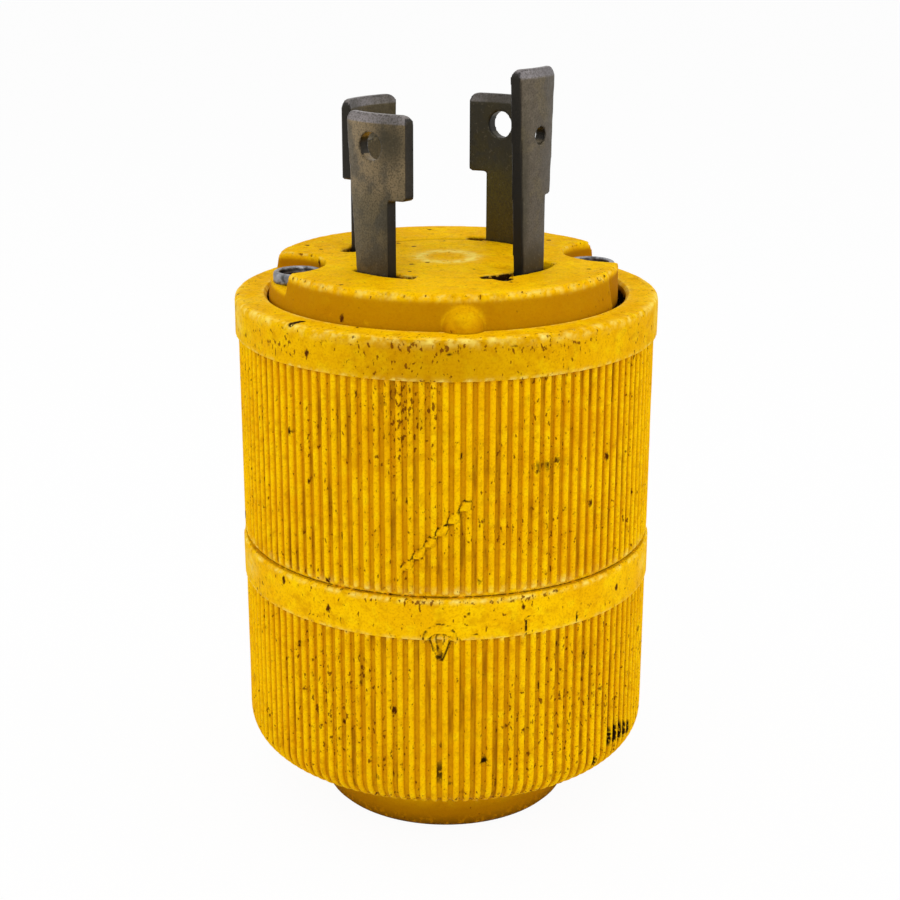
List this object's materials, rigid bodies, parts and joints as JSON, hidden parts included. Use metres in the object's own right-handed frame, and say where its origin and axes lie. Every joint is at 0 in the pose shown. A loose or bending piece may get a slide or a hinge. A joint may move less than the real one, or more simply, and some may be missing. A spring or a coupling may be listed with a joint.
{
  "type": "locking power plug",
  "caption": "Round ribbed two-shell locking power plug with curved hooked blades standing on its face and a cord entry in the opposite end.",
  "frame": {"origin": "centre of the cord neck's end face, on the plug's axis", "axes": "+Z along the plug's axis towards the blades, -Y towards the index boss beside the face"},
  "size_m": [0.057, 0.057, 0.1023],
  "materials": {
    "shell_plastic": "worn moulded nylon, yellow, dirt in the grooves",
    "face_plastic": "worn moulded nylon, yellow",
    "base_plastic": "moulded phenolic, black",
    "blade_brass": "tarnished brown",
    "terminal_brass": "dull",
    "screw_steel": "zinc plated, dull",
    "grommet_rubber": "neoprene, matt"
  },
  "bodies": {
    "root": {"front_shell": "shell_plastic", "rear_shell": "shell_plastic", "blade_face": "face_plastic", "terminal_base": "base_plastic", "cord_grommet": "grommet_rubber", "cord_jaw_right": "base_plastic", "cord_jaw_left": "base_plastic", "jaw_screw_front": "screw_steel", "jaw_screw_rear": "screw_steel", "blade_line_x": "blade_brass", "terminal_clamp_line_x": "terminal_brass", "terminal_screw_line_x": "screw_steel", "blade_ground": "blade_brass", "terminal_clamp_ground": "terminal_brass", "terminal_screw_ground": "screw_steel", "blade_line_y": "blade_brass", "terminal_clamp_line_y": "terminal_brass", "terminal_screw_line_y": "screw_steel", "blade_neutral": "blade_brass", "terminal_clamp_neutral": "terminal_brass", "terminal_screw_neutral": "screw_steel", "assembly_screw_left": "screw_steel", "threaded_insert_left": "terminal_brass", "assembly_screw_right": "screw_steel", "threaded_insert_right": "terminal_brass"}
  },
  "joints": []
}
